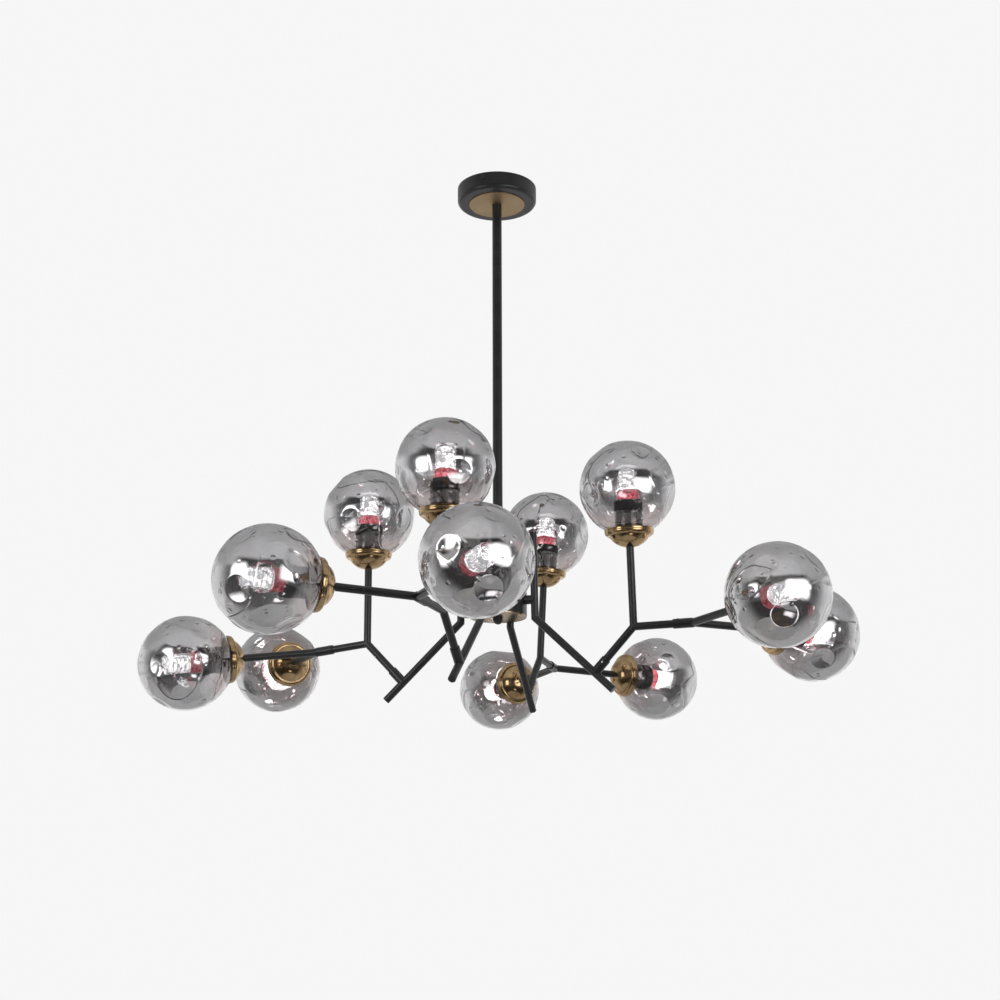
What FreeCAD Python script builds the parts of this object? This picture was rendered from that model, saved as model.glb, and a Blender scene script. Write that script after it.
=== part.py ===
"""Branch chandelier: twelve glass globes on four swivelling branches under a drop rod.

Millimetres and degrees. The origin is the middle of the canopy's top face, where it meets the
ceiling. +Z points up, +X along the right arm, +Y along the back arm.
"""
import FreeCAD, Part
import math
import os
from collections import namedtuple

V = FreeCAD.Vector
X_AXIS = V(1, 0, 0)
Y_AXIS = V(0, 1, 0)
Z_AXIS = V(0, 0, 1)

# ---------------------------------------------------------------- fits
seat_gap = 0.3            # between pieces that rest near each other without a fit
screw_gap = 0.1           # radial, between a threaded nipple and its hole
swivel_gap = 0.05         # radial running clearance of a swivel

# ---------------------------------------------------------------- canopy and ceiling bracket
canopy_r = 67.0
canopy_height = 28.0
canopy_wall = 1.2
canopy_edge_r = 6.0
canopy_plate_r = 47.0
canopy_plate_thickness = 1.5
bracket_width = 22.0
bracket_thickness = 2.0
bracket_tab_height = 14.0
slot_spacing = 80.0
slot_width = 5.5
slot_length = 20.0
side_screw_r = 2.0
side_screw_depth = 8.0    # of the screw's axis under the ceiling
side_screw_head_r = 3.6
side_screw_head_height = 2.2
block_length = 30.0
block_width = 17.0
block_height = 13.0
block_pole_r = 2.2

# ---------------------------------------------------------------- drop rod, nipples and nuts
rod_r = 8.0
rod_length = 668.0
nipple_r = 4.9
nipple_bore_r = 3.6
nipple_grip = 18.0        # length of nipple inside the rod
nut_flats = 17.0
nut_height = 4.0

# ---------------------------------------------------------------- hub
hub_r = 46.0
hub_height = 46.0
hub_wall = 2.0
hub_edge_r = 2.0
hub_plate_inset = 0.5     # of the plate's edge inside the hub's side
hub_plate_thickness = 2.5
hub_plate_edge_r = 1.2
hub_plate_lip = 3.0       # height of the ring that centres the plate in the hub
finial_r = 8.0
finial_drop = 2.5         # of the ball's centre under the plate
finial_bore_depth = 5.5

# ---------------------------------------------------------------- arm: post, slanted bar and socket
tube_r = 6.0
tube_wall = 1.2
boss_r = 7.25
arm_reach = 62.0          # from the rod's axis to the post's axis
post_above = 107.0        # from the boss's axis to the post's top end
post_below = 29.5         # from the boss's axis to the bend
bar_length = 172.5        # from the bend to the free end
bar_angle = 46.0          # from straight down
takeoff = 132.5           # from the bend to the branch's socket
sleeve_r = 7.5
socket_length = 22.0      # from the bar's surface to the socket's mouth
grub_r = 1.5
grub_depth = 7.0          # from the mouth of a sleeve to its grub screw

# ---------------------------------------------------------------- branch and fork
branch_length = 93.0      # from the bar's axis to the branch's knot
upright_length = 123.5    # from the knot to the cup
link_length = 91.5        # from the knot to the fork's knot
fork_half_angle = 44.0
fork_length = 123.5       # from the fork's knot to the cup
fork_sleeve_length = 29.0
sleeve_floor = 5.0        # from the fork's knot to the link's end

# ---------------------------------------------------------------- lamp: cup, holder, bulb and globe
cup_collar_r = 7.5
cup_wall = 1.2
cup_bowl_r = 31.0
cup_bowl_height = 16.5
cup_bowl_bulge = 3.4      # of the bowl's side out of its straight line
cup_lip_r = 38.0
cup_lip_height = 23.0     # where the round of the lip ends
cup_rim_r = 38.5
cup_height = 27.5
holder_base_r = 7.0
holder_shoulder = 12.0    # height of the base's cone
skirt_r = 21.5
skirt_height = 55.5       # from the cup's floor to the collar
skirt_groove_depth = 0.8
skirt_groove_width = 2.4
skirt_grooves = 3
collar_r = 22.5
collar_height = 16.0
collar_chamfer = 0.8
socket_bore_r = 13.7
socket_depth = 24.0
cap_r = 13.3              # of the bulb's metal cap
cap_length = 22.0
band_r = 16.4
band_height = 15.5
clear_r = 16.0
clear_height = 41.0
clear_edge_r = 5.0
band_flutes = 18
band_flute_r = 2.0
band_flute_depth = 1.2
clear_flutes = 24
clear_flute_r = 1.6
clear_flute_depth = 0.9
nipple_in_lamp = 10.0
globe_r = 75.0
globe_wall = 2.0
globe_height = 93.0       # of its centre over the cup's base
neck_fillet = 3.0

# ---------------------------------------------------------------- dents pressed into each globe
# where a dent lies round the lamp's axis and above the globe's middle, its rim's radius and depth
Dent = namedtuple("Dent", "azimuth rise rim_r depth")
dents = [
    Dent(azimuth=15, rise=46, rim_r=19.0, depth=4.6),
    Dent(azimuth=105, rise=40, rim_r=17.0, depth=4.2),
    Dent(azimuth=200, rise=50, rim_r=18.0, depth=4.4),
    Dent(azimuth=290, rise=38, rim_r=16.5, depth=4.0),
    Dent(azimuth=60, rise=-14, rim_r=19.0, depth=4.4),
    Dent(azimuth=135, rise=-22, rim_r=21.0, depth=5.0),
    Dent(azimuth=212, rise=-12, rim_r=18.0, depth=4.2),
    Dent(azimuth=265, rise=-27, rim_r=20.0, depth=4.8),
    Dent(azimuth=340, rise=-20, rim_r=19.0, depth=4.6),
]
dent_fillet = 8.0         # of a dent's rim, on the outside

# ---------------------------------------------------------------- how each branch is set
# the last three are how far the top globe and the fork's two globes are turned in their cups
Arm = namedtuple("Arm", "name azimuth roll swing droop turn globe_turns")
arms = [
    Arm("right", azimuth=-1.5, roll=2.5, swing=2.0, droop=0.0, turn=-4.5,
        globe_turns=(20, 75, 130)),
    Arm("back", azimuth=90.5, roll=1.5, swing=2.5, droop=2.5, turn=-4.5,
        globe_turns=(200, 300, 15)),
    Arm("left", azimuth=182.0, roll=2.5, swing=-4.5, droop=5.0, turn=-6.0,
        globe_turns=(110, 250, 340)),
    Arm("front", azimuth=269.0, roll=-0.5, swing=0.0, droop=-2.0, turn=0.5,
        globe_turns=(60, 160, 220)),
]

# ---------------------------------------------------------------- levels and directions
plate_level = -canopy_height - canopy_plate_thickness
hub_top = plate_level - rod_length
hub_level = hub_top - hub_height / 2
hub_bottom = hub_top - hub_height
hole_r = nipple_r + screw_gap
slant = V(math.sin(math.radians(bar_angle)), 0, -math.cos(math.radians(bar_angle)))
branch_way = V(-slant.z, 0, slant.x)


# ---------------------------------------------------------------- general shapes
def turned(outline):
    """Solid of revolution about Z, from edges that close an outline in the XZ plane."""
    face = Part.Face(Part.Wire(Part.__sortEdges__(outline)))
    return face.revolve(V(), Z_AXIS, 360)


def lines(*points):
    """Straight edges through (radius, height) points."""
    at = [V(r, 0, z) for r, z in points]
    return [Part.makeLine(a, b) for a, b in zip(at, at[1:])]


def arc(start, middle, end):
    """Arc edge through three (radius, height) points."""
    return Part.Arc(*[V(r, 0, z) for r, z in (start, middle, end)]).toShape()


def bar(start, end, radius):
    run = end - start
    return Part.makeCylinder(radius, run.Length, start, run)


def ring(outer_r, inner_r, bottom, top):
    """Upright ring about Z between two heights."""
    outer = bar(V(0, 0, bottom), V(0, 0, top), outer_r)
    return outer.cut(bar(V(0, 0, bottom), V(0, 0, top), inner_r))


def mitred(points, radius):
    """Round bar along straight runs with mitred corners."""
    path = Part.makePolygon(points)
    start = Part.Wire(Part.makeCircle(radius, points[0], points[1] - points[0]))
    return path.makePipeShell([start], True, True, 1)


def hexagon(flats, bottom, height):
    corner = flats / math.sqrt(3)
    points = [V(corner * math.cos(math.radians(a)), corner * math.sin(math.radians(a)), bottom)
              for a in range(0, 361, 60)]
    return Part.Face(Part.makePolygon(points)).extrude(V(0, 0, height))


def nut(bottom):
    return hexagon(nut_flats, bottom, nut_height).cut(
        bar(V(0, 0, bottom), V(0, 0, bottom + nut_height), hole_r))


def nipple(bottom, top):
    return ring(nipple_r, nipple_bore_r, bottom, top)


def grub_hole(along, way, outer_r):
    """Cylinder for a grub screw that points at an axis, from outside its sleeve."""
    return bar(along, along + way * outer_r * 2, grub_r)


def placed(shape, *places):
    """Copy of a shape, moved by the product of placements."""
    whole = FreeCAD.Placement()
    for place in places:
        whole = whole.multiply(place)
    moved = shape.copy()
    moved.Placement = whole.multiply(moved.Placement)
    return moved


def turn_about(axis, angle, centre=V()):
    return FreeCAD.Placement(centre, FreeCAD.Rotation(axis, angle))


# ---------------------------------------------------------------- ceiling and canopy
def ceiling_bracket():
    half = canopy_r - canopy_wall - seat_gap
    strip = Part.makeBox(bracket_width, 2 * half, bracket_thickness,
                         V(-bracket_width / 2, -half, -bracket_thickness))
    strip = strip.common(bar(V(0, 0, -bracket_thickness), V(), half))
    tab_y = half * math.cos(math.asin(bracket_width / 2 / half)) - bracket_thickness
    for side in (1, -1):
        corner = V(-bracket_width / 2, tab_y if side > 0 else -tab_y - bracket_thickness,
                   -bracket_tab_height)
        tab = Part.makeBox(bracket_width, bracket_thickness, bracket_tab_height, corner)
        strip = strip.fuse(tab)
        strip = strip.cut(slot(side * slot_spacing / 2))
    screw_axis = V(0, canopy_r, -side_screw_depth)
    return strip.cut(bar(-screw_axis - V(0, 0, 2 * side_screw_depth), screw_axis,
                         side_screw_r + screw_gap)).removeSplitter()


def slot(middle_y):
    """Screw slot through the bracket, long way along Y."""
    half = (slot_length - slot_width) / 2
    hole = Part.makeBox(slot_width, 2 * half, bracket_thickness,
                        V(-slot_width / 2, middle_y - half, -bracket_thickness))
    for end in (-half, half):
        foot = V(0, middle_y + end, -bracket_thickness)
        hole = hole.fuse(bar(foot, foot + V(0, 0, bracket_thickness), slot_width / 2))
    return hole


def canopy():
    outer = bar(V(0, 0, -canopy_height), V(), canopy_r)
    inner = bar(V(0, 0, -canopy_height + canopy_wall), V(), canopy_r - canopy_wall)
    outer = rounded_foot(outer, -canopy_height, canopy_edge_r)
    inner = rounded_foot(inner, -canopy_height + canopy_wall, canopy_edge_r - canopy_wall)
    shell = outer.cut(inner)
    shell = shell.cut(bar(V(0, 0, -canopy_height), V(), hole_r))
    for side in (1, -1):
        axis = V(0, side * canopy_r, -side_screw_depth)
        shell = shell.cut(bar(V(0, 0, -side_screw_depth), axis, side_screw_r + seat_gap))
    return shell


def rounded_foot(solid, level, radius):
    """Solid with the round edges at one level filleted."""
    edges = [e for e in solid.Edges
             if abs(e.BoundBox.ZMax - level) < 1e-6 and abs(e.BoundBox.ZMin - level) < 1e-6]
    return solid.makeFillet(radius, edges)


def canopy_plate():
    disc = ring(canopy_plate_r, hole_r, plate_level, -canopy_height)
    edges = [e for e in disc.Edges if abs(e.BoundBox.ZMax - plate_level) < 1e-6
             and e.BoundBox.XMax > hole_r * 2]
    return disc.makeChamfer(canopy_plate_thickness / 3, edges)


def canopy_screws():
    """Two screws through the canopy's side into the bracket's tabs."""
    tip_y = canopy_r - canopy_wall - bracket_tab_height / 2
    shank = bar(V(0, tip_y, -side_screw_depth), V(0, canopy_r, -side_screw_depth), side_screw_r)
    head = bar(V(0, canopy_r, -side_screw_depth),
               V(0, canopy_r + side_screw_head_height, -side_screw_depth), side_screw_head_r)
    front = max(head.Edges, key=lambda e: e.BoundBox.YMin)
    screw = head.makeFillet(side_screw_head_height * 0.6, [front]).fuse(shank)
    return Part.makeCompound([screw, placed(screw, turn_about(Z_AXIS, 180))])


def terminal_block():
    """Three-pole block screwed under the bracket."""
    top = -bracket_thickness
    block = Part.makeBox(block_width, block_length, block_height,
                         V(-block_width / 2, slot_spacing / 2 - slot_length - block_length,
                           top - block_height))
    pitch = block_length / 3
    for pole in range(3):
        y = slot_spacing / 2 - slot_length - pitch * (pole + 0.5)
        z = top - block_height / 2
        block = block.cut(bar(V(-block_width, y, z), V(block_width, y, z), block_pole_r))
    return block


# ---------------------------------------------------------------- rod and hub
def drop_rod():
    return ring(rod_r, hole_r, hub_top, plate_level)


def rod_nipples():
    """Threaded tubes: one through the canopy, one through the hub to the finial."""
    upper_top = -canopy_height + canopy_wall + nut_height + 2
    lower_bottom = hub_bottom - hub_plate_thickness - finial_bore_depth + seat_gap
    return Part.makeCompound([
        nipple(plate_level - nipple_grip, upper_top),
        nipple(lower_bottom, hub_top + nipple_grip),
    ])


def locknuts():
    """Nuts on the two rod nipples and on each arm's boss."""
    solids = [nut(-canopy_height + canopy_wall), nut(hub_top - hub_wall - nut_height)]
    for arm in arms:
        solids.append(placed(nut(0), arm_place(arm), turn_about(Y_AXIS, -90,
                                                                V(boss_nut_face(), 0, 0))))
    return Part.makeCompound(solids)


def boss_nut_face():
    """Distance from the rod's axis to where a nut sits flat inside the round hub wall."""
    corner = nut_flats / math.sqrt(3)
    return math.sqrt((hub_r - hub_wall) ** 2 - corner ** 2)


def hub_body():
    body = bar(V(0, 0, hub_bottom), V(0, 0, hub_top), hub_r)
    top_edges = [e for e in body.Edges if abs(e.BoundBox.ZMin - hub_top) < 1e-6]
    body = body.makeFillet(hub_edge_r, top_edges)
    body = body.cut(bar(V(0, 0, hub_bottom), V(0, 0, hub_top - hub_wall), hub_r - hub_wall))
    body = body.cut(bar(V(0, 0, hub_bottom), V(0, 0, hub_top), hole_r))
    for arm in arms:
        hole = placed(bar(V(boss_nut_face() - nut_height, 0, 0), V(hub_r, 0, 0), hole_r),
                      arm_place(arm))
        body = body.cut(hole)
    return body


def hub_plate():
    """Cover under the hub, centred by a ring that fits inside the wall."""
    low = hub_bottom - hub_plate_thickness
    disc = bar(V(0, 0, low), V(0, 0, hub_bottom), hub_r - hub_plate_inset)
    disc = rounded_foot(disc, low, hub_plate_edge_r)
    lip_r = hub_r - hub_wall - screw_gap
    lip = ring(lip_r, lip_r - hub_wall, hub_bottom, hub_bottom + hub_plate_lip)
    return disc.fuse(lip).cut(bar(V(0, 0, low), V(0, 0, hub_bottom), hole_r))


def finial():
    face = hub_bottom - hub_plate_thickness
    ball = Part.makeSphere(finial_r, V(0, 0, face - finial_drop))
    ball = ball.cut(Part.makeBox(4 * finial_r, 4 * finial_r, 4 * finial_r,
                                 V(-2 * finial_r, -2 * finial_r, face)))
    return ball.cut(bar(V(0, 0, face - finial_bore_depth), V(0, 0, face), hole_r))


# ---------------------------------------------------------------- places of arms, branches, forks
def arm_place(arm):
    """Arm frame: X out along the boss, Z up, origin on the rod's axis at the boss's level."""
    level = FreeCAD.Placement(V(0, 0, hub_level), FreeCAD.Rotation(Z_AXIS, arm.azimuth))
    return level.multiply(turn_about(X_AXIS, arm.roll))


def takeoff_point():
    return V(arm_reach, 0, -post_below) + slant * takeoff


def branch_place(arm):
    """Branch frame: the arm's, moved to the take-off and swung about the branch's own tube."""
    return arm_place(arm).multiply(turn_about(branch_way, arm.swing, takeoff_point()))


def knot_point():
    return branch_way * branch_length


def link_way(arm):
    return FreeCAD.Rotation(Y_AXIS, arm.droop).multVec(X_AXIS)


def fork_place(arm):
    """Fork frame: X along the link, origin at the fork's knot, turned about the link."""
    knot = knot_point() + link_way(arm) * link_length
    place = branch_place(arm).multiply(turn_about(Y_AXIS, arm.droop, knot))
    return place.multiply(turn_about(X_AXIS, arm.turn))


def prong_way(side):
    angle = math.radians(fork_half_angle) * side
    return V(math.cos(angle), math.sin(angle), 0)


def top_lamp_place(arm):
    return branch_place(arm).multiply(turn_about(Z_AXIS, 0, knot_point() + Z_AXIS * upright_length))


def fork_lamp_place(arm, side):
    """Lamp frame at the end of a prong: Z along the prong, X up."""
    way = prong_way(side)
    aim = FreeCAD.Rotation(Z_AXIS, V(), way, "ZXY")
    return fork_place(arm).multiply(FreeCAD.Placement(way * fork_length, aim))


# ---------------------------------------------------------------- arm, branch and fork tubes
def arm_tube():
    """Post, slanted bar, boss to the hub and socket for the branch, in the arm frame."""
    corner = V(arm_reach, 0, -post_below)
    top = V(arm_reach, 0, post_above)
    end = corner + slant * bar_length
    foot = takeoff_point()
    mouth = foot + branch_way * (tube_r + socket_length)
    outer = mitred([top, corner, end], tube_r)
    outer = outer.fuse(bar(foot, mouth, sleeve_r))
    boss = bar(V(), V(arm_reach, 0, 0), boss_r).cut(bar(V(0, 0, -boss_r), V(0, 0, boss_r), hub_r))
    spigot_start = V(boss_nut_face() - nut_height, 0, 0)
    outer = outer.fuse(boss).fuse(bar(spigot_start, V(arm_reach, 0, 0), nipple_r))
    inner_r = tube_r - tube_wall
    inner = mitred([top - Z_AXIS * tube_wall, corner, end - slant * tube_wall], inner_r)
    inner = inner.fuse(bar(spigot_start, V(arm_reach, 0, 0), nipple_bore_r))
    inner = inner.fuse(bar(foot, mouth, nipple_bore_r))
    inner = inner.fuse(bar(foot + branch_way * tube_r, mouth, tube_r + swivel_gap))
    grub = grub_hole(mouth - branch_way * grub_depth, V(0, -1, 0), sleeve_r)
    return outer.cut(inner).cut(grub)


def socket_screws():
    """Grub screws that lock the branches in their sockets, one on each arm."""
    axis = takeoff_point() + branch_way * (tube_r + socket_length - grub_depth)
    tip = axis - Y_AXIS * (tube_r + swivel_gap + seat_gap)
    screw = bar(tip, axis - Y_AXIS * (sleeve_r + tube_wall / 2), grub_r - screw_gap)
    return Part.makeCompound([placed(screw, arm_place(arm)) for arm in arms])


def stem(start, end, outer):
    """Tube end that carries a lamp: a shoulder for the cup, then a nipple."""
    way = (end - start).normalize()
    if outer:
        return bar(start, end, tube_r).fuse(bar(end, end + way * nipple_in_lamp, nipple_r))
    return bar(start, end - way * tube_wall * 2, tube_r - tube_wall).fuse(
        bar(start, end + way * nipple_in_lamp, nipple_bore_r))


def branch_tube(arm):
    """Spigot, upright and link that meet at the knot, in the branch frame."""
    foot = branch_way * (tube_r + seat_gap)
    knot = knot_point()
    lamp = knot + Z_AXIS * upright_length
    tip = knot + link_way(arm) * (link_length - sleeve_floor - seat_gap)
    outer = bar(foot, knot, tube_r).fuse([Part.makeSphere(tube_r, knot), bar(knot, tip, tube_r),
                                         stem(knot, lamp, True)])
    inner_r = tube_r - tube_wall
    inner = bar(foot, knot, inner_r).fuse([Part.makeSphere(inner_r, knot), bar(knot, tip, inner_r),
                                          stem(knot, lamp, False)])
    return outer.cut(inner)


def fork_tube():
    """Sleeve round the link's end and two prongs, in the fork frame."""
    mouth = V(-fork_sleeve_length, 0, 0)
    floor = V(-sleeve_floor, 0, 0)
    outer = bar(mouth, V(), sleeve_r).fuse(Part.makeSphere(sleeve_r, V()))
    inner = bar(mouth, floor, tube_r + swivel_gap).fuse(bar(floor, V(), nipple_bore_r))
    for side in (1, -1):
        end = prong_way(side) * fork_length
        outer = outer.fuse(stem(V(), end, True))
        inner = inner.fuse(stem(V(), end, False))
    grub = grub_hole(mouth + X_AXIS * grub_depth, Z_AXIS, sleeve_r)
    return outer.cut(inner).cut(grub)


# ---------------------------------------------------------------- lamp pieces, in the lamp frame
def bowl_middle(inset):
    """Point half way up the bowl's side, pushed out of the straight line by the bulge."""
    run_r = cup_bowl_r - cup_collar_r
    slope = math.hypot(run_r, cup_bowl_height)
    push = cup_bowl_bulge - inset
    return ((cup_collar_r + cup_bowl_r) / 2 + push * cup_bowl_height / slope,
            cup_bowl_height / 2 - push * run_r / slope)


def cup():
    """Spun cup with a bulged bowl, a rounded lip and a straight rim; its floor has a hole."""
    step = cup_wall * 0.7
    lip_middle = (cup_bowl_r + (cup_lip_r - cup_bowl_r) * 0.75,
                  cup_bowl_height + (cup_lip_height - cup_bowl_height) * 0.3)
    outer = [arc((cup_collar_r, 0), bowl_middle(0), (cup_bowl_r, cup_bowl_height)),
             arc((cup_bowl_r, cup_bowl_height), lip_middle, (cup_lip_r, cup_lip_height))]
    outer += lines((cup_lip_r, cup_lip_height), (cup_rim_r, cup_lip_height + step),
                   (cup_rim_r, cup_height), (cup_rim_r - cup_wall, cup_height))
    inner = lines((cup_rim_r - cup_wall, cup_height), (cup_rim_r - cup_wall, cup_lip_height))
    inner.append(arc((cup_rim_r - cup_wall, cup_lip_height),
                     (lip_middle[0] - step, lip_middle[1] + step),
                     (cup_bowl_r - step, cup_bowl_height + step)))
    inner.append(arc((cup_bowl_r - step, cup_bowl_height + step), bowl_middle(cup_wall),
                     (cup_collar_r, cup_wall)))
    floor = lines((cup_collar_r, cup_wall), (hole_r, cup_wall), (hole_r, 0), (cup_collar_r, 0))
    return turned(outer + inner + floor)


def holder():
    """Lampholder: cone base, skirt with rolled grooves, wider collar, bore for the bulb's cap."""
    foot = cup_wall
    skirt_foot = foot + holder_shoulder
    skirt_top = foot + skirt_height
    top = skirt_top + collar_height
    outline = lines((hole_r, foot), (holder_base_r, foot), (skirt_r, skirt_foot))
    level = skirt_foot
    for count in range(skirt_grooves):
        middle = skirt_foot + (skirt_top - skirt_foot) * (count + 0.5) / skirt_grooves
        low, high = middle - skirt_groove_width / 2, middle + skirt_groove_width / 2
        outline += lines((skirt_r, level), (skirt_r, low))
        outline.append(arc((skirt_r, low), (skirt_r - skirt_groove_depth, middle),
                           (skirt_r, high)))
        level = high
    outline += lines((skirt_r, level), (skirt_r, skirt_top), (collar_r, skirt_top),
                     (collar_r, top - collar_chamfer), (collar_r - collar_chamfer, top),
                     (socket_bore_r, top), (socket_bore_r, top - socket_depth),
                     (hole_r, top - socket_depth), (hole_r, foot))
    return turned(outline)


def bulb():
    """Metal cap, fluted band and fluted clear cylinder with a round shoulder."""
    seat = cup_wall + skirt_height + collar_height
    band_top = seat + band_height
    tip = band_top + clear_height
    outline = lines((0, seat - cap_length), (cap_r, seat - cap_length), (cap_r, seat),
                    (band_r, seat), (band_r, band_top), (clear_r, band_top),
                    (clear_r, tip - clear_edge_r))
    round_in = clear_edge_r * (1 - math.sqrt(0.5))
    outline.append(arc((clear_r, tip - clear_edge_r), (clear_r - round_in, tip - round_in),
                       (clear_r - clear_edge_r, tip)))
    outline += lines((clear_r - clear_edge_r, tip), (0, tip), (0, seat - cap_length))
    grooves = flutes(band_flutes, band_flute_r, band_r - band_flute_depth, seat, band_top)
    grooves += flutes(clear_flutes, clear_flute_r, clear_r - clear_flute_depth, band_top, tip)
    return turned(outline).cut(grooves)


def flutes(count, flute_r, bottom_r, low, high):
    """Upright round cutters about the lamp's axis, which reach in as far as bottom_r."""
    first = bar(V(bottom_r + flute_r, 0, low), V(bottom_r + flute_r, 0, high), flute_r)
    return [placed(first, turn_about(Z_AXIS, 360 * turn / count)) for turn in range(count)]


def globe():
    """Blown glass shell, even in thickness, with pressed dents and an open neck in the cup."""
    return glass_body(0).cut(glass_body(globe_wall))


def glass_body(depth):
    """Solid bounded by the glass at a depth under its outside: ball, neck and dents."""
    centre = V(0, 0, globe_height)
    radius = globe_r - depth
    neck_r = cup_rim_r - cup_wall - seat_gap - depth
    neck_foot = cup_lip_height
    ball = Part.makeSphere(radius, centre)
    presses = [dent_press(dent, depth) for dent in dents]
    ball = ball.cut([Part.makeSphere(press_r, middle) for middle, press_r in presses])
    rims = [e for e in ball.Edges if lies_on(e, centre, radius)
            and any(lies_on(e, middle, press_r) for middle, press_r in presses)]
    ball = ball.makeFillet(dent_fillet - depth, rims)
    body = ball.fuse(bar(V(0, 0, neck_foot), centre, neck_r))
    body = body.cut(bar(centre - Z_AXIS * radius, V(0, 0, neck_foot), radius))
    meet = globe_height - math.sqrt(radius ** 2 - neck_r ** 2)
    corner = [e for e in body.Edges if abs(e.BoundBox.ZMax - meet) < 1e-3
              and abs(e.BoundBox.ZMin - meet) < 1e-3]
    return body.makeFillet(neck_fillet + depth, corner)


def dent_press(dent, depth):
    """Middle and radius of the ball that presses a dent: through its rim and down to its depth."""
    dome = globe_r - math.sqrt(globe_r ** 2 - dent.rim_r ** 2)
    hollow = dent.depth - dome
    press_r = (dent.rim_r ** 2 + hollow ** 2) / (2 * hollow)
    aim = FreeCAD.Rotation(Z_AXIS, dent.azimuth).multiply(FreeCAD.Rotation(Y_AXIS, -dent.rise))
    middle = V(0, 0, globe_height) + aim.multVec(X_AXIS) * (globe_r - dent.depth + press_r)
    return middle, press_r + depth


def lies_on(edge, middle, radius):
    """True for an edge all along a ball's surface, and not for the bare point at its pole."""
    return not edge.Degenerated and all(
        abs((point - middle).Length - radius) < 1e-3 for point in edge.discretize(5))


# ---------------------------------------------------------------- assembly
def central_parts():
    yield "ceiling_bracket", ceiling_bracket()
    yield "canopy", canopy()
    yield "canopy_plate", canopy_plate()
    yield "canopy_screws", canopy_screws()
    yield "terminal_block", terminal_block()
    yield "drop_rod", drop_rod()
    yield "rod_nipples", rod_nipples()
    yield "locknuts", locknuts()
    yield "hub_body", hub_body()
    yield "hub_plate", hub_plate()
    yield "finial", finial()
    yield "socket_screws", socket_screws()


def arm_parts(arm):
    """Tubes and lamps of one arm; the two lamps of its fork share a node for each kind."""
    yield arm.name + "_arm_tube", placed(arm_tube(), arm_place(arm))
    yield arm.name + "_branch_tube", placed(branch_tube(arm), branch_place(arm))
    yield arm.name + "_fork_tube", placed(fork_tube(), fork_place(arm))
    prongs = [fork_lamp_place(arm, side) for side in (1, -1)]
    for piece, shape in (("cup", cup()), ("holder", holder()), ("bulb", bulb())):
        yield arm.name + "_top_" + piece, placed(shape, top_lamp_place(arm))
        yield arm.name + "_fork_" + piece + "s", Part.makeCompound(
            [placed(shape, prong) for prong in prongs])
    glass = globe()
    names = ("_top_globe", "_fork_globe_a", "_fork_globe_b")
    for name, lamp, turned_by in zip(names, [top_lamp_place(arm)] + prongs, arm.globe_turns):
        yield arm.name + name, placed(glass, lamp, turn_about(Z_AXIS, turned_by))


def write_parts():
    os.makedirs("parts", exist_ok=True)
    for name, shape in central_parts():
        shape.exportStep("parts/" + name + ".step")
    for arm in arms:
        for name, shape in arm_parts(arm):
            shape.exportStep("parts/" + name + ".step")


write_parts()
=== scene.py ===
import bpy
import math
import numpy as np
from mathutils import Matrix, Vector


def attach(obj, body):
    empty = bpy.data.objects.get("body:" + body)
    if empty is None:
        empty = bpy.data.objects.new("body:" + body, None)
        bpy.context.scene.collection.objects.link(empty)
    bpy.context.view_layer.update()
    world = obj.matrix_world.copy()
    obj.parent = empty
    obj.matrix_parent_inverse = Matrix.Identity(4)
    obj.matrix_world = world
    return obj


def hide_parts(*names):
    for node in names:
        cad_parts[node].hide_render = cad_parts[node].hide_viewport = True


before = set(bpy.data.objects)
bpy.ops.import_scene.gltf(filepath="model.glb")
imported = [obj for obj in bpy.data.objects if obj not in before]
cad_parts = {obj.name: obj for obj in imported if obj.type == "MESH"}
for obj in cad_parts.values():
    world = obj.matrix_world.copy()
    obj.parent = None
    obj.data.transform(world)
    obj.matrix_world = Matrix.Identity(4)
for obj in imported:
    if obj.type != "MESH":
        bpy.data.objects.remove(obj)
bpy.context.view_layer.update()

# Branch chandelier. Lengths in the lamp and tube sections are millimetres, as a maker gives
# them; every mesh is written in metres.
MM = 0.001

# ---------------------------------------------------------------- where the arms and lamps are
HUB_LEVEL = -720.5
ARM_REACH = 62.0
POST_BELOW = 29.5
TAKEOFF = 132.5
BAR_ANGLE = math.radians(46.0)
BRANCH_LENGTH = 93.0
UPRIGHT_LENGTH = 123.5
LINK_LENGTH = 91.5
FORK_HALF_ANGLE = math.radians(44.0)
FORK_LENGTH = 123.5
FORK_SLEEVE_LENGTH = 29.0
SLEEVE_R = 7.5
GRUB_DEPTH = 7.0
TUBE_R = 6.0

SLANT = Vector((math.sin(BAR_ANGLE), 0, -math.cos(BAR_ANGLE)))
BRANCH_WAY = Vector((-SLANT.z, 0, SLANT.x))

# arm: azimuth, roll about its boss, swing of the branch, droop of the link, turn of the fork
ARMS = {
    "right": (-1.5, 2.5, 2.0, 0.0, -4.5),
    "back": (90.5, 1.5, 2.5, 2.5, -4.5),
    "left": (182.0, 2.5, -4.5, 5.0, -6.0),
    "front": (269.0, -0.5, 0.0, -2.0, 0.5),
}


def turn(axis, degrees):
    """Turn about an axis through the origin."""
    return Matrix.Rotation(math.radians(degrees), 4, Vector(axis))


def shift(point):
    """Move by a point's coordinates, in the units of the frame it is used in."""
    return Matrix.Translation(Vector(point))


def arm_place(arm):
    azimuth, roll = ARMS[arm][:2]
    return shift((0, 0, HUB_LEVEL)) @ turn((0, 0, 1), azimuth) @ turn((1, 0, 0), roll)


def branch_place(arm):
    takeoff = Vector((ARM_REACH, 0, -POST_BELOW)) + SLANT * TAKEOFF
    return arm_place(arm) @ shift(takeoff) @ turn(BRANCH_WAY, ARMS[arm][2])


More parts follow.
